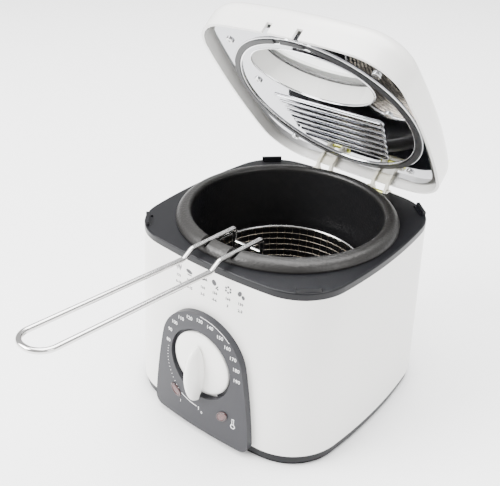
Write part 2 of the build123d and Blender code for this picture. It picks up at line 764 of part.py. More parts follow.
basket_rim = wire_ring(RIM_R, RIM_Z, RIM_WIRE)
basket_rim.label = "basket_rim"
basket_foot_ring = wire_ring(46.0, MESH_FLOOR_Z - FOOT_WIRE, FOOT_WIRE)
basket_foot_ring.label = "basket_foot_ring"

# Bracket: two posts from the rim up to the handle's hooks, tied by a crossbar
TIP_Y, HOOK_Z = -47.6, 145.5
rim_front = -math.sqrt(RIM_R**2 - HANDLE_X**2)
with BuildPart() as basket_bracket:
    for x in (-HANDLE_X, HANDLE_X):
        with BuildLine() as post_path:
            FilletPolyline(
                (x, rim_front, RIM_Z + RIM_WIRE - 0.1),
                (x, rim_front + 2, 120),
                (x, TIP_Y, 136),
                (x, TIP_Y, HOOK_Z),
                radius=6,
            )
        with BuildSketch(post_path.line ^ 0):
            Circle(1.5)
        sweep()
    with BuildSketch(side_plane(-HANDLE_X)):
        with Locations((TIP_Y, 141.5)):
            Circle(1.3)
    extrude(amount=2 * HANDLE_X)
basket_bracket.part.label = "basket_bracket"

# Handle: one bent wire from hook to hook, over the pot's lip and out to a round end
handle_side = [
    (TIP_Y, HOOK_Z),
    (TIP_Y, 152.8),
    (-94.0, 155.3),
    (-102.5, 150.6),
    (HANDLE_END_Y, 162.6),
]
handle_points = [(-HANDLE_X, y, z) for y, z in handle_side]
handle_points += [(HANDLE_X, y, z) for y, z in reversed(handle_side)]
handle_radii = [3.0, 5.0, 5.0, 11.5]
with BuildPart() as basket_handle:
    with BuildLine() as handle_path:
        FilletPolyline(*handle_points, radius=handle_radii + handle_radii[::-1])
    with BuildSketch(handle_path.line ^ 0):
        Circle(HANDLE_WIRE)
    sweep()
basket_handle.part.label = "basket_handle"

# ---------------------------------------------------------------- output

pieces = [
    base_ring.part, base_plate.part, rubber_feet.part, outer_shell.part, screw_pillars.part,
    base_screws.part, deck.part, pot.part, pot_seal.part, heat_shield.part, heating_element.part,
    element_clamp.part, clamp_nuts.part, thermal_cutout.part, thermostat_body.part,
    thermostat_bracket.part, feeler_bulb.part, control_panel.part, power_lens, heat_lens,
    power_lamp, heat_lamp, cord_bushing.part, terminal_block.part, hinge_bracket.part,
    hinge_pins.part, lid_shell.part, lid_plate.part, lid_gasket.part, window_frame, window_glass,
    window_seal, filter_pad.part, filter_tray.part, lid_screws.part, hinge_arm_left,
    hinge_arm_right, knob.part, dial_shaft.part, knob_clip.part, basket_mesh.part, basket_rim,
    basket_foot_ring, basket_bracket.part, basket_handle.part,
]
os.makedirs("parts", exist_ok=True)
for piece in pieces:
    export_step(piece, f"parts/{piece.label}.step")
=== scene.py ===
"""A small square deep fryer: looks, printed marks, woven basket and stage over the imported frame."""
import math

import bmesh
import bpy
from mathutils import Matrix, Vector


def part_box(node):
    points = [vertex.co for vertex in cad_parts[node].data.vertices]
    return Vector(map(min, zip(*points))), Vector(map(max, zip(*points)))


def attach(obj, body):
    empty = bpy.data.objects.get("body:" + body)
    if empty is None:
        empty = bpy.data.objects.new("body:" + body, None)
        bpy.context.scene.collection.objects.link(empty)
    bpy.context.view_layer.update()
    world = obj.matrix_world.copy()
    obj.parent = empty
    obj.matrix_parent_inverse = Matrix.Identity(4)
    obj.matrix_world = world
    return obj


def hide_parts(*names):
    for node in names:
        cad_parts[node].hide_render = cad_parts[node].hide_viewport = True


bl_info = {
    "name": "Deep Fryer",
    "version": (1, 0, 0),
    "blender": (4, 5, 0),
    "location": "3D View > Sidebar > Deep Fryer",
    "description": "Builds the looks of a small square deep fryer over its packed frame",
    "category": "Object",
}

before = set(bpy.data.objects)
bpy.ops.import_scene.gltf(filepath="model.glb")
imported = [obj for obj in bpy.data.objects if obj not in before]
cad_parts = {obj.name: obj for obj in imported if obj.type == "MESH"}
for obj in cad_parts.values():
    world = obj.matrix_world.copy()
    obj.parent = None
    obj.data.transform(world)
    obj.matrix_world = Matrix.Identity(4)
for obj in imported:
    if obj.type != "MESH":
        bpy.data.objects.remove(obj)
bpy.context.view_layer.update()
MM = 0.001

# The lid's own frame at rest: x across, y to the back, z up from its rim
LID_OPEN = math.radians(49.6)
HINGE = Vector((0, 91.3, 145.0)) * MM
RIM_FROM_HINGE = Vector((0, -91.3, 7.8)) * MM
LID_FRAME = (
    Matrix.Translation(HINGE)
    @ Matrix.Rotation(-LID_OPEN, 4, "X")
    @ Matrix.Translation(RIM_FROM_HINGE)
)


# ------------------------------------------------------------------ settings


def colour(name, about, value):
    return bpy.props.FloatVectorProperty(
        name=name, description=about, default=value, size=3, min=0, max=1, subtype="COLOR"
    )


def length(name, about, value):
    return bpy.props.FloatProperty(
        name=name, description=about, default=value, min=0, unit="LENGTH", subtype="DISTANCE"
    )


class FryerColours(bpy.types.PropertyGroup):
    shell: colour("Shell", "White of the shell and the lid", (0.80, 0.79, 0.765))
    deck: colour("Deck", "Dark grey of the collar and the base", (0.0055, 0.0056, 0.0070))
    panel: colour("Panel", "Dark grey of the control panel", (0.034, 0.034, 0.038))
    knob: colour("Knob", "White of the knob", (0.85, 0.84, 0.81))
    pot: colour("Pot", "Dark coating inside the pot", (0.0085, 0.0085, 0.0095))
    lip: colour("Lip", "Hammered grey of the pot's lip", (0.022, 0.021, 0.020))
    lamp: colour("Lamp", "Red of the lamp lenses", (0.075, 0.012, 0.012))
    cream: colour("Hinge", "Cream paint of the hinge arms", (0.76, 0.73, 0.62))
    zinc: colour("Pins", "Yellow zinc of the hinge pins", (0.55, 0.55, 0.12))
    ink: colour("Marks", "Printed marks on the panel", (0.82, 0.82, 0.82))
    dark_ink: colour("Pictograms", "Printed marks on the shell", (0.045, 0.045, 0.05))


class FryerSizes(bpy.types.PropertyGroup):
    weave_wire: length("Weave wire", "Thickness of the basket's woven wire", 0.95 * MM)
    weave_row: length("Weave row", "Distance between the rows of the weave", 5.2 * MM)
    weave_columns: bpy.props.IntProperty(
        name="Weave columns", description="Upright wires around the basket", default=60, min=12, max=160
    )
    numeral: length("Numeral", "Height setting of the scale's numerals", 4.1 * MM)
    print_depth: length("Print depth", "Thickness of the printed marks", 0.12 * MM)


# ------------------------------------------------------------------ handling


def clear_selection():
    """Object mode with nothing selected."""
    if bpy.context.object and bpy.context.object.mode != "OBJECT":
        bpy.ops.object.mode_set(mode="OBJECT")
    bpy.ops.object.select_all(action="DESELECT")


def only(piece):
    """Makes one object the only selected and active one."""
    clear_selection()
    piece.select_set(True)
    bpy.context.view_layer.objects.active = piece


def shape(kind="VERT"):
    """Enters edit mode on the active piece with nothing selected."""
    bpy.ops.object.mode_set(mode="EDIT")
    bpy.ops.mesh.select_mode(type=kind)
    bpy.ops.mesh.select_all(action="DESELECT")


def pick(kind, test):
    """Selects the active piece's verts, edges or faces whose place passes the test."""
    mesh = bmesh.from_edit_mesh(bpy.context.object.data)
    for item in getattr(mesh, kind):
        if kind == "verts":
            place = item.co
        elif kind == "edges":
            place = (item.verts[0].co + item.verts[1].co) / 2
        else:
            place = item.calc_center_median()
        item.select_set(bool(test(place)))
    mesh.select_flush_mode()
    bmesh.update_edit_mesh(bpy.context.object.data)


def apply_modifier(piece, kind, **settings):
    """Adds one modifier with its settings and applies it."""
    only(piece)
    added = piece.modifiers.new(kind.title(), kind)
    for key, value in settings.items():
        setattr(added, key, value)
    bpy.ops.object.modifier_apply(modifier=added.name)


def join(pieces, name):
    """Joins pieces into one object with that name."""
    clear_selection()
    for piece in pieces:
        piece.select_set(True)
    bpy.context.view_layer.objects.active = pieces[0]
    if len(pieces) > 1:
        bpy.ops.object.join()
    pieces[0].name = pieces[0].data.name = name
    return pieces[0]


def copy_to(piece, place):
    """A copy with its own mesh, moved by place."""
    only(piece)
    bpy.ops.object.duplicate(linked=False)
    twin = bpy.context.object
    twin.location = Vector(piece.location) + Vector(place)
    return twin


def finish_piece(piece, name, body, material, on_lid=False, smooth=35):
    """Settles a piece at the origin, smooths it, dresses it and hangs it on its body."""
    only(piece)
    bpy.ops.object.transform_apply(location=True, rotation=True, scale=True)
    if on_lid:
        piece.matrix_world = LID_FRAME
        bpy.ops.object.transform_apply(location=True, rotation=True, scale=True)
    bpy.ops.object.mode_set(mode="EDIT")
    bpy.ops.mesh.select_all(action="SELECT")
    bpy.ops.mesh.remove_doubles(threshold=0.00001)
    bpy.ops.mesh.normals_make_consistent(inside=False)
    bpy.ops.object.mode_set(mode="OBJECT")
    if smooth:
        bpy.ops.object.shade_smooth_by_angle(angle=math.radians(smooth))
    piece.name = piece.data.name = name
    piece.data.materials.clear()
    piece.data.materials.append(material)
    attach(piece, body)
    return piece


def dress(node, material):
    """Gives a carried-over node its material."""
    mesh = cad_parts[node].data
    mesh.materials.clear()
    mesh.materials.append(material)


# ------------------------------------------------------------------ finishes


def surface(name, colour_value, rough, metallic=0.0):
    """A new material with its shader set, and the node tree's handles."""
    material = bpy.data.materials.new(name)
    material.use_nodes = True
    tree = material.node_tree
    shader = tree.nodes["Principled BSDF"]
    shader.inputs["Base Color"].default_value = (*colour_value, 1)
    shader.inputs["Roughness"].default_value = rough
    shader.inputs["Metallic"].default_value = metallic
    return material, tree, shader


def object_pattern(tree, kind, scale, stretch=(1, 1, 1), **settings):
    """A texture node on Object coordinates, stretched along the axes."""
    coords = tree.nodes.new("ShaderNodeTexCoord")
    mapping = tree.nodes.new("ShaderNodeMapping")
    mapping.inputs["Scale"].default_value = stretch
    pattern = tree.nodes.new(kind)
    pattern.inputs["Scale"].default_value = scale
    for key, value in settings.items():
        pattern.inputs[key].default_value = value
    tree.links.new(coords.outputs["Object"], mapping.inputs["Vector"])
    tree.links.new(mapping.outputs["Vector"], pattern.inputs["Vector"])
    return pattern


def output_of(pattern):
    """The grey output of a noise or a cell pattern."""
    return pattern.outputs["Distance"] if "Distance" in pattern.outputs else pattern.outputs["Fac"]


def spread(tree, shader, pattern, socket, low, high):
    """Drives a shader socket from a pattern, between two values."""
    span = tree.nodes.new("ShaderNodeMapRange")
    span.inputs["To Min"].default_value = low
    span.inputs["To Max"].default_value = high
    tree.links.new(output_of(pattern), span.inputs["Value"])
    tree.links.new(span.outputs["Result"], shader.inputs[socket])


def tint(tree, shader, pattern, dark, light):
    """Colours a surface between two tones by a pattern."""
    ramp = tree.nodes.new("ShaderNodeValToRGB")
    ramp.color_ramp.elements[0].position = 0.35
    ramp.color_ramp.elements[0].color = (*dark, 1)
    ramp.color_ramp.elements[1].position = 0.68
    ramp.color_ramp.elements[1].color = (*light, 1)
    tree.links.new(output_of(pattern), ramp.inputs["Fac"])
    tree.links.new(ramp.outputs["Color"], shader.inputs["Base Color"])


def relief(tree, shader, pattern, depth, strength=1.0):
    """Raises a pattern as a fine bump of the given depth."""
    bump = tree.nodes.new("ShaderNodeBump")
    bump.inputs["Distance"].default_value = depth
    bump.inputs["Strength"].default_value = strength
    tree.links.new(output_of(pattern), bump.inputs["Height"])
    tree.links.new(bump.outputs["Normal"], shader.inputs["Normal"])


def moulded(name, value, rough, grain, depth, gloss=0.0, shine=0.5):
    """Moulded plastic: fine spark grain, faint flow marks in tone and gloss."""
    material, tree, shader = surface(name, value, rough)
    shader.inputs["Specular IOR Level"].default_value = shine
    shader.inputs["Coat Weight"].default_value = gloss
    shader.inputs["Coat Roughness"].default_value = 0.12
    flow = object_pattern(tree, "ShaderNodeTexNoise", 9.0, Detail=3.0, Roughness=0.5)
    tint(tree, shader, flow, [c * 0.965 for c in value], value)
    spread(tree, shader, flow, "Roughness", rough * 0.85, rough * 1.15)
    fine = object_pattern(tree, "ShaderNodeTexNoise", grain, Detail=2.0, Roughness=0.6)
    relief(tree, shader, fine, depth, 0.5)
    return material


def metal(name, value, rough, stretch, grain=900.0, depth=0.00001):
    """Bare or plated metal with drawn grain along one axis."""
    material, tree, shader = surface(name, value, rough, 1.0)
    lines = object_pattern(tree, "ShaderNodeTexNoise", grain, stretch, Detail=4.0, Roughness=0.6)
    spread(tree, shader, lines, "Roughness", rough * 0.7, rough * 1.4)
    relief(tree, shader, lines, depth, 0.35)
    return material


def hammered(name, value, bright):
    """The pot's coat: matt and dark down inside, hammered and brighter on the lip."""
    material, tree, shader = surface(name, value, 0.42, 0.35)
    coords = tree.nodes.new("ShaderNodeTexCoord")
    split = tree.nodes.new("ShaderNodeSeparateXYZ")
    rise = tree.nodes.new("ShaderNodeMapRange")
    rise.inputs["From Min"].default_value = 151.5 * MM
    rise.inputs["From Max"].default_value = 154.5 * MM
    blend = tree.nodes.new("ShaderNodeMix")
    blend.data_type = "RGBA"
    blend.inputs[6].default_value = (*value, 1)
    blend.inputs[7].default_value = (*bright, 1)
    tree.links.new(coords.outputs["Object"], split.inputs["Vector"])
    tree.links.new(split.outputs["Z"], rise.inputs["Value"])
    radius = tree.nodes.new("ShaderNodeVectorMath")
    radius.operation = "LENGTH"
    flat = tree.nodes.new("ShaderNodeMapping")
    flat.inputs["Scale"].default_value = (1, 1, 0)
    reach = tree.nodes.new("ShaderNodeMapRange")
    reach.inputs["From Min"].default_value = 73.6 * MM
    reach.inputs["From Max"].default_value = 75.0 * MM
    both = tree.nodes.new("ShaderNodeMath")
    both.operation = "MAXIMUM"
    tree.links.new(coords.outputs["Object"], flat.inputs["Vector"])
    tree.links.new(flat.outputs["Vector"], radius.inputs[0])
    tree.links.new(radius.outputs["Value"], reach.inputs["Value"])
    tree.links.new(reach.outputs["Result"], both.inputs[0])
    tree.links.new(rise.outputs["Result"], both.inputs[1])
    tree.links.new(both.outputs["Value"], blend.inputs[0])
    tree.links.new(blend.outputs[2], shader.inputs["Base Color"])
    dents = object_pattern(tree, "ShaderNodeTexVoronoi", 520.0, Randomness=1.0)
    relief(tree, shader, dents, 0.00022, 0.55)
    spread(tree, shader, dents, "Roughness", 0.30, 0.46)
    return material


def clear_glass(name):
    """Clear tempered glass with the faintest waviness."""
    material, tree, shader = surface(name, (0.97, 0.99, 0.985), 0.02)
    shader.inputs["Transmission Weight"].default_value = 1.0
    shader.inputs["IOR"].default_value = 1.5
    wave = object_pattern(tree, "ShaderNodeTexNoise", 30.0, Detail=1.0)
    relief(tree, shader, wave, 0.00001, 0.2)
    return material


def lens_red(name, value):
    """Red translucent plastic with a ribbed inside."""
    material, tree, shader = surface(name, value, 0.22)
    shader.inputs["Transmission Weight"].default_value = 0.15
    shader.inputs["Coat Weight"].default_value = 0.5
    ribs = object_pattern(tree, "ShaderNodeTexNoise", 700.0, (1, 1, 1), Detail=1.0)
    tint(tree, shader, ribs, [c * 0.75 for c in value], [min(1, c * 1.25) for c in value])
    relief(tree, shader, ribs, 0.00005, 0.4)
    return material


def ink(name, value):
    """Screen-printed ink, slightly uneven."""
    material, tree, shader = surface(name, value, 0.5)
    cover = object_pattern(tree, "ShaderNodeTexNoise", 1500.0, Detail=2.0)
    tint(tree, shader, cover, [c * 0.8 for c in value], value)
    return material


def felt(name, value):
    """Soft filter felt with tangled fibres."""
    material, tree, shader = surface(name, value, 0.95)
    shader.inputs["Sheen Weight"].default_value = 0.3
    fibre = object_pattern(tree, "ShaderNodeTexNoise", 1800.0, (1, 0.35, 1), Detail=6.0, Roughness=0.7)
    tint(tree, shader, fibre, [c * 0.7 for c in value], value)
    relief(tree, shader, fibre, 0.0004, 0.6)
    return material


# ------------------------------------------------------------------ operators


class FRYER_OT_stage(bpy.types.Operator):
    """Camera, soft lights and the pale floor"""

    bl_idname = "fryer.stage"
    bl_label = "Stage"

    def execute(self, context):
        azimuth, elevation, roll = math.radians(38.21), math.radians(29.74), math.radians(1.72)
        right = Vector((math.cos(azimuth), math.sin(azimuth), 0))
        back = Vector(
            (
                math.sin(azimuth) * math.cos(elevation),
                -math.cos(azimuth) * math.cos(elevation),
                math.sin(elevation),
            )
        )
        up = back.cross(right)
        across = right * math.cos(roll) + up * math.sin(roll)
        above = up * math.cos(roll) - right * math.sin(roll)
        turn = Matrix((across, above, back)).transposed().to_4x4()
        bpy.ops.object.camera_add()
        camera = context.object
        camera.name = "camera"
        camera.matrix_world = Matrix.Translation(Vector((290.9, -417.6, 413.5)) * MM) @ turn
        camera.data.sensor_width = 36
        camera.data.lens = 53.8
        camera.data.shift_x = 0.0048
        camera.data.clip_start = 0.01
        context.scene.camera = camera

        world = bpy.data.worlds.new("studio")
        world.use_nodes = True
        world.node_tree.nodes["Background"].inputs["Color"].default_value = (1, 1, 1, 1)
        world.node_tree.nodes["Background"].inputs["Strength"].default_value = 0.85
        context.scene.world = world
        self.softbox("key_light", (-1.0, -1.3, 1.3), (0, 0, 0.12), 1.2, 105)
        self.softbox("fill_light", (1.6, -0.2, 0.8), (0, 0, 0.1), 0.8, 10)
        self.softbox("top_light", (0.0, 0.4, 2.4), (0, 0, 0.0), 2.6, 230)

        clear_selection()
        bpy.ops.mesh.primitive_plane_add(size=9.0)
        floor = context.object
        floor.name = "floor"
        paper, tree, shader = surface("studio paper", (0.93, 0.93, 0.93), 0.75)
        fibre = object_pattern(tree, "ShaderNodeTexNoise", 60.0, Detail=4.0)
        spread(tree, shader, fibre, "Roughness", 0.7, 0.8)
        floor.data.materials.append(paper)
        return {"FINISHED"}

    def softbox(self, name, place, target, size, power):
        """A square area light aimed at a point."""
        bpy.ops.object.light_add(type="AREA", location=place)
        lamp = bpy.context.object
        lamp.name = name
        lamp.data.size = size
        lamp.data.energy = power
        aim = (Vector(target) - Vector(place)).to_track_quat("-Z", "Y")
        lamp.rotation_euler = aim.to_euler()


class FRYER_OT_housing_finish(bpy.types.Operator):
    """Finishes for the housing, its base and what is inside"""

    bl_idname = "fryer.housing_finish"
    bl_label = "Housing finishes"

    def execute(self, context):
        tones = context.scene.fryer_colours
        white = moulded("white shell plastic", tones.shell, 0.30, 1400, 0.00001, 0.25)
        dark = moulded("dark collar plastic", tones.deck, 0.36, 1100, 0.00003, 0.0, 0.22)
        panel = moulded("panel plastic", tones.panel, 0.42, 1600, 0.00002, 0.0, 0.2)
        black = moulded("black rubber", (0.012, 0.012, 0.013), 0.62, 800, 0.00004)
        tin = metal("plain sheet steel", (0.56, 0.56, 0.57), 0.34, (1, 1, 0.05))
        phenolic = moulded("brown phenolic", (0.09, 0.05, 0.03), 0.5, 900, 0.00005)
        cream = moulded("cream paint", tones.cream, 0.33, 700, 0.00002, 0.2)
        zinc = metal("yellow zinc", tones.zinc, 0.3, (0.2, 1, 1))
        lens = lens_red("red lens", tones.lamp)
        clear = clear_glass("lamp glass")
        pot = hammered("coated pot", tones.pot, tones.lip)
        for node in ("outer_shell", "screw_pillars"):
            dress(node, white)
        for node in ("deck", "base_ring"):
            dress(node, dark)
        for node in ("rubber_feet", "pot_seal", "cord_bushing"):
            dress(node, black)
        for node in (
            "base_plate",
            "base_screws",
            "heat_shield",
            "heating_element",
            "element_clamp",
            "clamp_nuts",
            "thermostat_bracket",
        ):
            dress(node, tin)
        for node in ("thermal_cutout", "thermostat_body", "terminal_block"):
            dress(node, phenolic)
        dress("control_panel", panel)
        dress("feeler_bulb", zinc)
        dress("hinge_pins", zinc)
        dress("hinge_bracket", cream)
        dress("power_lens", lens)
        dress("heat_lens", lens)
        dress("power_lamp", clear)
        dress("heat_lamp", clear)
        dress("pot", pot)
        return {"FINISHED"}


class FRYER_OT_lid_finish(bpy.types.Operator):
    """Finishes for the lid and its arms"""

    bl_idname = "fryer.lid_finish"
    bl_label = "Lid finishes"

    def execute(self, context):
        tones = context.scene.fryer_colours
        white = moulded("white lid plastic", tones.shell, 0.28, 1400, 0.00001, 0.3)
        mirror = metal("polished lid steel", (0.46, 0.465, 0.485), 0.04, (0.04, 1, 1), 400.0, 0.000004)
        seal = moulded("black silicone", (0.014, 0.014, 0.015), 0.5, 900, 0.00004)
        cream = moulded("cream arm paint", tones.cream, 0.33, 700, 0.00002, 0.2)
        for node in ("lid_shell", "window_frame", "filter_tray"):
            dress(node, white)
        for node in ("lid_gasket", "window_seal"):
            dress(node, seal)
        for node in ("hinge_arm_left", "hinge_arm_right"):
            dress(node, cream)
        dress("lid_plate", mirror)
        dress("lid_screws", mirror)
        dress("window_glass", clear_glass("window glass"))
        dress("filter_pad", felt("filter felt", (0.62, 0.60, 0.54)))
        return {"FINISHED"}


class FRYER_OT_dial_finish(bpy.types.Operator):
    """Finishes for the knob and its shaft"""

    bl_idname = "fryer.dial_finish"
    bl_label = "Dial finishes"

    def execute(self, context):
        tones = context.scene.fryer_colours
        steel = metal("shaft steel", (0.5, 0.5, 0.5), 0.3, (1, 0.05, 1))
        dress("knob", moulded("knob plastic", tones.knob, 0.22, 1500, 0.00001, 0.4))
        dress("dial_shaft", steel)
        dress("knob_clip", steel)
        return {"FINISHED"}


class FRYER_OT_basket_finish(bpy.types.Operator):
    """Bright plated finish for the basket's frame wires"""

    bl_idname = "fryer.basket_finish"
    bl_label = "Basket wire finish"

    def execute(self, context):
        plated = metal("bright plated wire", (0.66, 0.65, 0.64), 0.16, (1, 0.04, 1), 1200.0)
        for node in ("basket_rim", "basket_foot_ring", "basket_bracket", "basket_handle"):
            dress(node, plated)
        return {"FINISHED"}


class FRYER_OT_basket_weave(bpy.types.Operator):
    """The woven wire cup in place of the plain one"""

    bl_idname = "fryer.basket_weave"
    bl_label = "Basket weave"

    def execute(self, context):
        sizes = context.scene.fryer_sizes
        low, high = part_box("basket_mesh")
        floor_z, top_z = low[2] + 0.8 * MM, high[2] + 0.6 * MM
        rows = round((top_z - floor_z - 5 * MM) / sizes.weave_row)
        clear_selection()
        bpy.ops.mesh.primitive_circle_add(
            vertices=sizes.weave_columns, radius=54 * MM, location=(0, 0, floor_z), fill_type="NOTHING"
        )
        cup = context.object
        bpy.ops.object.transform_apply(location=True)
        shape()
        bpy.ops.mesh.select_all(action="SELECT")
        radius, height = 54 * MM, floor_z
        for step in range(rows + 1):
            next_height = floor_z + 5 * MM + step * (top_z - floor_z - 5 * MM) / rows
            next_radius = 57.2 * MM + step * 5.8 * MM / rows
            bpy.ops.mesh.extrude_edges_move(
                TRANSFORM_OT_translate={"value": (0, 0, next_height - height)}
            )
            grow = next_radius / radius
            bpy.ops.transform.resize(value=(grow, grow, 1), center_override=(0, 0, 0))
            radius, height = next_radius, next_height
        bpy.ops.object.mode_set(mode="OBJECT")

        clear_selection()
        bpy.ops.mesh.primitive_grid_add(
            x_subdivisions=21, y_subdivisions=21, size=112 * MM, location=(0, 0, floor_z)
        )
        base = context.object
        bpy.ops.object.transform_apply(location=True)
        shape()
        pick("verts", lambda v: math.hypot(v.x, v.y) > 54.6 * MM)
        bpy.ops.mesh.delete(type="VERT")
        bpy.ops.object.mode_set(mode="OBJECT")
        weave = join([cup, base], "basket_weave")
        apply_modifier(
            weave,
            "WIREFRAME",
            thickness=sizes.weave_wire,
            use_even_offset=False,
            use_boundary=True,
            use_replace=True,
        )
        plated = metal("woven basket wire", (0.50, 0.45, 0.38), 0.24, (1, 1, 1), 1500.0)
        finish_piece(weave, "basket_weave", "basket", plated, smooth=60)
        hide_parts("basket_mesh")
        return {"FINISHED"}


class FRYER_OT_scale_print(bpy.types.Operator):
    """Temperature figures, arcs, dots and symbols printed on the control panel"""

    bl_idname = "fryer.scale_print"
    bl_label = "Scale print"

    def execute(self, context):
        sizes = context.scene.fryer_sizes
        marks = []
        figures = (
            ("80", -31.9, 71.6), ("90", -30.0, 81.8), ("100", -25.4, 90.4), ("110", -18.8, 97.0),
            ("120", -10.4, 101.3), ("130", -0.6, 103.0), ("140", 9.2, 101.8), ("150", 18.3, 97.5),
            ("160", 25.1, 91.8), ("170", 30.3, 84.7), ("180", 33.4, 76.4), ("190", 34.3, 67.2),
        )
        for words, x, z in figures:
            marks.append(self.figure(words, x, z, sizes.numeral))
        marks.append(self.figure("0", 3.6, 22.2, sizes.numeral * 0.8))
        marks.append(self.figure("1", -18.3, 21.5, sizes.numeral * 0.8))
        marks.append(self.arc(38.2, 45, 92, 0.4, 68.6))
        marks.append(self.arc(39.0, 243, 269, 0.6))
        for step in range(14):
            turn, radius = math.radians(178 + step * 4.6), 31.8 + step * 0.5
            marks.append(self.dot(radius * math.cos(turn), 65 + radius * math.sin(turn), 0.34))
        marks.append(self.bar(0.6, 24.9, 0.35, 3.2))
        marks.append(self.ring(33.0, 25.2, 2.1))
        marks.append(self.bar(33.0, 29.4, 1.0, 5.4))
        printed = join(marks, "scale_marks")
        apply_modifier(
            printed,
            "SHRINKWRAP",
            target=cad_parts["control_panel"],
            wrap_method="PROJECT",
            wrap_mode="ABOVE_SURFACE",
            use_project_y=True,
            use_negative_direction=False,
            use_positive_direction=True,
            offset=0.03 * MM,
        )
        apply_modifier(printed, "SOLIDIFY", thickness=sizes.print_depth, offset=0)
        white = ink("white panel ink", context.scene.fryer_colours.ink)
        finish_piece(printed, "scale_marks", "housing", white, smooth=0)
        return {"FINISHED"}

    def figure(self, words, x, z, size):
        """One upright figure as a flat mesh in front of the panel."""
        clear_selection()
        bpy.ops.object.text_add(location=(x * MM, -0.13, z * MM), rotation=(math.pi / 2, 0, 0))
        text = bpy.context.object
        text.data.body = words
        text.data.size = size
        text.data.align_x = "CENTER"
        text.data.align_y = "CENTER"
        text.data.resolution_u = 3
        text.data.offset = 0.00006
        bpy.ops.object.convert(target="MESH")
        bpy.ops.object.transform_apply(location=True, rotation=True, scale=True)
        return bpy.context.object

    def arc(self, radius, start, end, width, centre=65.0):
        """A thin arc about a point on the panel's middle line, in degrees from +X."""
        middle = centre * MM
        clear_selection()
        bpy.ops.mesh.primitive_circle_add(
            vertices=180,
            radius=radius * MM,
            fill_type="NOTHING",
            location=(0, -0.13, middle),
            rotation=(math.pi / 2, 0, 0),
        )
        bpy.ops.object.transform_apply(location=True, rotation=True)
        shape()
        pick(
            "verts",
            lambda v: not start <= math.degrees(math.atan2(v.z - middle, v.x)) % 360 <= end,
        )
        bpy.ops.mesh.delete(type="VERT")
        bpy.ops.mesh.select_all(action="SELECT")
        bpy.ops.mesh.extrude_edges_move()
        grow = 1 + width / radius
        bpy.ops.transform.resize(value=(grow, 1, grow), center_override=(0, 0, middle))
        bpy.ops.object.mode_set(mode="OBJECT")
        return bpy.context.object

    def dot(self, x, z, radius):
        """One small filled dot."""
        clear_selection()
        bpy.ops.mesh.primitive_circle_add(
            vertices=12,
            radius=radius * MM,
            fill_type="NGON",
            location=(x * MM, -0.13, z * MM),
            rotation=(math.pi / 2, 0, 0),
        )
        bpy.ops.object.transform_apply(location=True, rotation=True)
        return bpy.context.object

    def ring(self, x, z, radius):
        """The open bulb of the thermometer symbol."""
        clear_selection()
        bpy.ops.mesh.primitive_circle_add(
            vertices=24,
            radius=radius * MM,
            fill_type="NGON",
            location=(x * MM, -0.13, z * MM),
            rotation=(math.pi / 2, 0, 0),
        )
        bpy.ops.object.transform_apply(location=True, rotation=True)
        shape("FACE")
        bpy.ops.mesh.select_all(action="SELECT")
        bpy.ops.mesh.inset(thickness=0.7 * MM)
        bpy.ops.mesh.delete(type="FACE")
        bpy.ops.object.mode_set(mode="OBJECT")
        return bpy.context.object

    def bar(self, x, z, half, tall):
        """The open tube of the thermometer symbol."""
        clear_selection()
        bpy.ops.mesh.primitive_plane_add(
            size=1, location=(x * MM, -0.13, z * MM), rotation=(math.pi / 2, 0, 0)
        )
        bpy.context.object.scale = (2 * half * MM, tall * MM, 1)
        bpy.ops.object.transform_apply(location=True, rotation=True, scale=True)
        shape("FACE")
        bpy.ops.mesh.select_all(action="SELECT")
        bpy.ops.mesh.inset(thickness=0.5 * MM)
        bpy.ops.mesh.delete(type="FACE")
        bpy.ops.object.mode_set(mode="OBJECT")
        return bpy.context.object


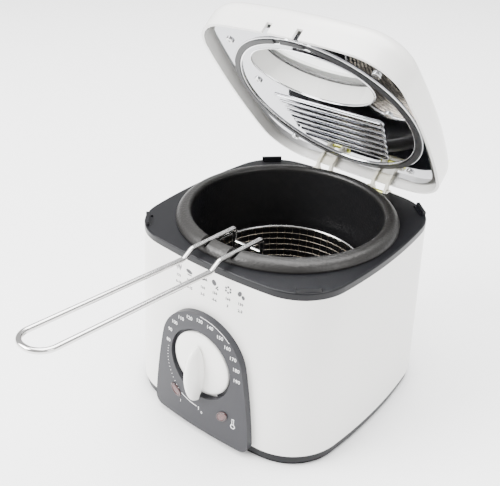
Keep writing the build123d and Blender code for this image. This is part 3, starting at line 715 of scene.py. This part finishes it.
class FRYER_OT_pictograms(bpy.types.Operator):
    """Six small food symbols with their times, printed on the shell above the panel"""

    bl_idname = "fryer.pictograms"
    bl_label = "Food symbols"

    def execute(self, context):
        marks = []
        columns = (-25.9, -15.3, -2.1, 8.9, 20.5, 31.2)
        for index, x in enumerate(columns):
            marks += self.symbol(index, x - 1.0, 134.5)
            marks.append(self.words(("170", "190", "160", "150", "160", "130")[index], x - 1.0, 127.2))
            marks.append(self.words(("8-10", "10-15", "3-5", "4-6", "3", "2-3")[index], x - 1.0, 121.6))
        printed = join(marks, "food_symbols")
        apply_modifier(
            printed,
            "SHRINKWRAP",
            target=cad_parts["outer_shell"],
            wrap_method="PROJECT",
            wrap_mode="ABOVE_SURFACE",
            use_project_y=True,
            use_negative_direction=False,
            use_positive_direction=True,
            offset=0.03 * MM,
        )
        apply_modifier(printed, "SOLIDIFY", thickness=context.scene.fryer_sizes.print_depth, offset=0)
        dark = ink("dark shell ink", context.scene.fryer_colours.dark_ink)
        finish_piece(printed, "food_symbols", "housing", dark, smooth=0)
        return {"FINISHED"}

    def words(self, text, x, z):
        """A tiny line of figures."""
        clear_selection()
        bpy.ops.object.text_add(location=(x * MM, -0.13, z * MM), rotation=(math.pi / 2, 0, 0))
        line = bpy.context.object
        line.data.body = text
        line.data.size = 3.0 * MM
        line.data.offset = 0.1 * MM
        line.data.align_x = "CENTER"
        line.data.align_y = "CENTER"
        line.data.resolution_u = 1
        bpy.ops.object.convert(target="MESH")
        bpy.ops.object.transform_apply(location=True, rotation=True, scale=True)
        return bpy.context.object

    def blob(self, x, z, wide, tall, turn=0.0, sides=14):
        """One filled oval of ink."""
        clear_selection()
        bpy.ops.mesh.primitive_circle_add(
            vertices=sides,
            radius=0.5,
            fill_type="NGON",
            location=(x * MM, -0.13, z * MM),
            rotation=(math.pi / 2, math.radians(turn), 0),
        )
        bpy.context.object.scale = (wide * MM, tall * MM, 1)
        bpy.ops.object.transform_apply(location=True, rotation=True, scale=True)
        return bpy.context.object

    def symbol(self, index, x, z):
        """Chips, a fillet, a fish, a drumstick, a ring and a potato, as simple shapes."""
        if index == 0:
            return [
                self.blob(x + d, z + h, 1.1, 6.0, d * 6, 4)
                for d, h in ((-2, 0), (-0.6, 0.9), (0.9, 0.7), (2.2, 0))
            ]
        if index == 1:
            return [self.blob(x, z, 6.2, 3.0, 12), self.blob(x + 0.4, z - 2.6, 5.0, 0.8)]
        if index == 2:
            return [self.blob(x - 0.6, z, 5.6, 2.7), self.blob(x + 3.0, z, 2.6, 3.2, 0, 3)]
        if index == 3:
            return [
                self.blob(x - 0.8, z + 0.8, 3.8, 4.6, -30),
                self.blob(x + 1.8, z - 2.2, 1.1, 3.6, 40),
                self.blob(x + 2.6, z - 3.4, 1.6, 1.3),
            ]
        if index == 4:
            return [
                self.blob(x + dx, z + dz, 1.7, 1.7)
                for dx, dz in (
                    (0, 2.2), (1.9, 1.1), (1.9, -1.1), (0, -2.2), (-1.9, -1.1), (-1.9, 1.1),
                )
            ]
        return [self.blob(x - 1, z + 0.6, 3.2, 4.4, 25), self.blob(x + 1.9, z - 1.4, 2.6, 3.2, -15)]


class FRYER_OT_lamp_bezels(bpy.types.Operator):
    """A dark oval rim round each lamp lens"""

    bl_idname = "fryer.lamp_bezels"
    bl_label = "Lamp bezels"

    def execute(self, context):
        dark = moulded("bezel plastic", (0.03, 0.006, 0.006), 0.3, 900, 0.00002, 0.4)
        for side, name, lens in ((-1, "power_bezel", "power_lens"), (1, "heat_bezel", "heat_lens")):
            low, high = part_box(lens)
            clear_selection()
            bpy.ops.mesh.primitive_torus_add(
                major_segments=48, minor_segments=12, major_radius=1.0, minor_radius=0.17
            )
            bezel = context.object
            bezel.scale = (5.3 * MM, 3.25 * MM, 4.4 * MM)
            bpy.ops.object.transform_apply(location=False, rotation=False, scale=True)
            bezel.matrix_world = (
                Matrix.Translation(((low[0] + high[0]) / 2, low[1] + 0.5 * MM, (low[2] + high[2]) / 2))
                @ Matrix.Rotation(math.radians(-45 * side), 4, "Y")
                @ Matrix.Rotation(math.pi / 2, 4, "X")
            )
            finish_piece(bezel, name, "housing", dark, smooth=60)
        return {"FINISHED"}


class FRYER_OT_knob(bpy.types.Operator):
    """The domed knob with its soft pointer grip"""

    bl_idname = "fryer.knob"
    bl_label = "Knob"

    def execute(self, context):
        low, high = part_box("knob")
        middle_z = 65 * MM
        clear_selection()
        bpy.ops.mesh.primitive_cylinder_add(
            vertices=96, radius=26 * MM, depth=1.6 * MM, rotation=(math.pi / 2, 0, 0),
            location=(0, high[1] - 0.8 * MM, middle_z), end_fill_type="NGON",
        )
        disc = context.object
        bpy.ops.object.transform_apply(location=True, rotation=True)
        shape("FACE")
        pick("faces", lambda f: f.y < high[1] - 1.5 * MM)
        for inward, rise in (
            (0.5, 0.45), (0.8, 0.4), (1.8, 0.55), (3.4, 0.6), (5.0, 0.55), (6.0, 0.35), (6.0, 0.15),
        ):
            bpy.ops.mesh.inset(thickness=inward * MM, depth=rise * MM)
        bpy.ops.object.mode_set(mode="OBJECT")

        clear_selection()
        bpy.ops.mesh.primitive_uv_sphere_add(segments=48, ring_count=40, radius=1.0)
        grip = context.object
        shape()
        rings = sorted({round(v.co.z, 4) for v in grip.data.vertices})
        for ring in rings:
            round_out = math.sqrt(max(1 - ring * ring, 0.0001))
            wanted = round_out if ring > 0 else min(round_out, 1 - 0.86 * abs(ring) ** 1.25)
            pick("verts", lambda v: abs(v.z - ring) < 0.0005)
            bpy.ops.transform.resize(value=(wanted / round_out, 1, 1), center_override=(0, 0, ring))
        pick("verts", lambda v: v.y > 0.001)
        bpy.ops.transform.resize(value=(1, 0.3, 1), center_override=(0, 0, 0))
        pick("verts", lambda v: v.y > 0.001 and v.z < -0.72)
        bpy.ops.transform.resize(value=(1, 0.02, 1), center_override=(0, 0, 0))
        bpy.ops.object.mode_set(mode="OBJECT")
        grip.scale = (6.3 * MM, -(low[1] + 102.7 * MM), 24.4 * MM)
        grip.location = (0, -102.7 * MM, middle_z - 6.95 * MM)
        knob = join([disc, grip], "knob_soft")
        white = moulded("glossy knob plastic", context.scene.fryer_colours.knob, 0.20, 1500, 0.00001, 0.5)
        finish_piece(knob, "knob_soft", "dial", white, smooth=50)
        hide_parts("knob")
        return {"FINISHED"}


class FRYER_OT_lid_screws(bpy.types.Operator):
    """Pan-head screws with cross recesses in the lid plate"""

    bl_idname = "fryer.lid_screws"
    bl_label = "Lid screws"

    def execute(self, context):
        clear_selection()
        bpy.ops.mesh.primitive_cylinder_add(vertices=32, radius=3.2 * MM, depth=1.5 * MM)
        head = context.object
        shape("EDGE")
        pick("edges", lambda e: e.z < -0.7 * MM)
        bpy.ops.mesh.bevel(offset=0.8 * MM, segments=4, profile=0.6)
        bpy.ops.object.mode_set(mode="OBJECT")
        for turn in (0, math.pi / 2):
            clear_selection()
            bpy.ops.mesh.primitive_cube_add(size=1, location=(0, 0, -0.75 * MM), rotation=(0, 0, turn))
            blade = context.object
            blade.scale = (3.4 * MM, 0.62 * MM, 1.3 * MM)
            bpy.ops.object.transform_apply(location=True, rotation=True, scale=True)
            apply_modifier(head, "BOOLEAN", operation="DIFFERENCE", object=blade, solver="EXACT")
            only(blade)
            bpy.ops.object.delete()
        spots = [(s * x, y) for x, y in ((61.7, -62.3), (58.0, -15.0), (55.6, 66.0)) for s in (-1, 1)]
        heads = []
        for index, (x, y) in enumerate(spots):
            twin = copy_to(head, (x * MM, y * MM, 5.65 * MM))
            twin.rotation_euler = (0, 0, 0.5 + 0.9 * index)
            heads.append(twin)
        only(head)
        bpy.ops.object.delete()
        screws = join(heads, "lid_screw_heads")
        steel = metal("screw steel", (0.62, 0.62, 0.62), 0.2, (1, 1, 1), 2000.0)
        finish_piece(screws, "lid_screw_heads", "lid", steel, True, 40)
        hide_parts("lid_screws")
        return {"FINISHED"}


class FRYER_OT_louvres(bpy.types.Operator):
    """Pressed steam louvres across the lid plate"""

    bl_idname = "fryer.louvres"
    bl_label = "Louvres"

    def execute(self, context):
        ribs = []
        for index in range(7):
            half = (48 - 1.6 * index + 1.6) * MM
            clear_selection()
            bpy.ops.mesh.primitive_uv_sphere_add(segments=24, ring_count=16, radius=1.0)
            rib = context.object
            shape()
            pick("verts", lambda v: v.x > 0.01)
            bpy.ops.transform.translate(value=(half / (2.7 * MM) - 1, 0, 0))
            pick("verts", lambda v: v.x < -0.01)
            bpy.ops.transform.translate(value=(1 - half / (2.7 * MM), 0, 0))
            pick("verts", lambda v: v.z < -0.4)
            bpy.ops.transform.translate(value=(0, 0.5, 0))
            bpy.ops.object.mode_set(mode="OBJECT")
            rib.scale = (2.7 * MM, 2.9 * MM, 1.75 * MM)
            rib.location = (0, (1 + 8.5 * index) * MM, 6.45 * MM)
            ribs.append(rib)
        louvres = join(ribs, "lid_louvres")
        steel = metal("louvre steel", (0.46, 0.465, 0.485), 0.05, (0.04, 1, 1), 400.0, 0.000004)
        finish_piece(louvres, "lid_louvres", "lid", steel, True, 60)
        return {"FINISHED"}


class FRYER_OT_lid_rings(bpy.types.Operator):
    """Bright edges either side of the gasket and round the window"""

    bl_idname = "fryer.lid_rings"
    bl_label = "Lid rings"

    def execute(self, context):
        steel = metal("ring steel", (0.80, 0.80, 0.81), 0.1, (1, 1, 1), 500.0, 0.000004)
        rings = (
            ("gasket_inner_edge", 73.7, 73.7, 0.0, 0.9, 6.0),
            ("gasket_outer_edge", 78.9, 78.9, 0.0, 0.6, 6.2),
            ("window_edge", 52.6, 28.6, -38.0, 0.9, 6.7),
        )
        for name, wide, deep, y, wire, height in rings:
            clear_selection()
            bpy.ops.mesh.primitive_torus_add(
                major_segments=120, minor_segments=12, major_radius=wide * MM, minor_radius=wire * MM
            )
            ring = context.object
            ring.scale = (1, deep / wide, 1)
            ring.location = (0, y * MM, height * MM)
            finish_piece(ring, name, "lid", steel, True, 60)
        return {"FINISHED"}


class FRYER_PT_panel(bpy.types.Panel):
    """Sizes, colours and the building steps"""

    bl_idname = "FRYER_PT_panel"
    bl_label = "Deep Fryer"
    bl_space_type = "VIEW_3D"
    bl_region_type = "UI"
    bl_category = "Deep Fryer"

    def draw(self, context):
        layout = self.layout
        for group in (context.scene.fryer_sizes, context.scene.fryer_colours):
            box = layout.box()
            for key in group.bl_rna.properties.keys():
                if key not in ("rna_type", "name"):
                    box.prop(group, key)
        for step in STEPS:
            layout.operator(step.bl_idname)


STEPS = (
    FRYER_OT_stage,
    FRYER_OT_housing_finish,
    FRYER_OT_lid_finish,
    FRYER_OT_dial_finish,
    FRYER_OT_basket_finish,
    FRYER_OT_basket_weave,
    FRYER_OT_scale_print,
    FRYER_OT_pictograms,
    FRYER_OT_lamp_bezels,
    FRYER_OT_knob,
    FRYER_OT_lid_screws,
    FRYER_OT_louvres,
    FRYER_OT_lid_rings,
)
CLASSES = (FryerColours, FryerSizes, *STEPS, FRYER_PT_panel)


def register():
    for part in CLASSES:
        bpy.utils.register_class(part)
    bpy.types.Scene.fryer_colours = bpy.props.PointerProperty(type=FryerColours)
    bpy.types.Scene.fryer_sizes = bpy.props.PointerProperty(type=FryerSizes)


def unregister():
    del bpy.types.Scene.fryer_sizes
    del bpy.types.Scene.fryer_colours
    for part in reversed(CLASSES):
        bpy.utils.unregister_class(part)


def main():
    register()
    bpy.ops.fryer.stage()
    bpy.ops.fryer.housing_finish()
    bpy.ops.fryer.lid_finish()
    bpy.ops.fryer.dial_finish()
    bpy.ops.fryer.basket_finish()
    bpy.ops.fryer.basket_weave()
    bpy.ops.fryer.scale_print()
    bpy.ops.fryer.pictograms()
    bpy.ops.fryer.lamp_bezels()
    bpy.ops.fryer.knob()
    bpy.ops.fryer.lid_screws()
    bpy.ops.fryer.louvres()
    bpy.ops.fryer.lid_rings()


if __name__ == "__main__":
    main()
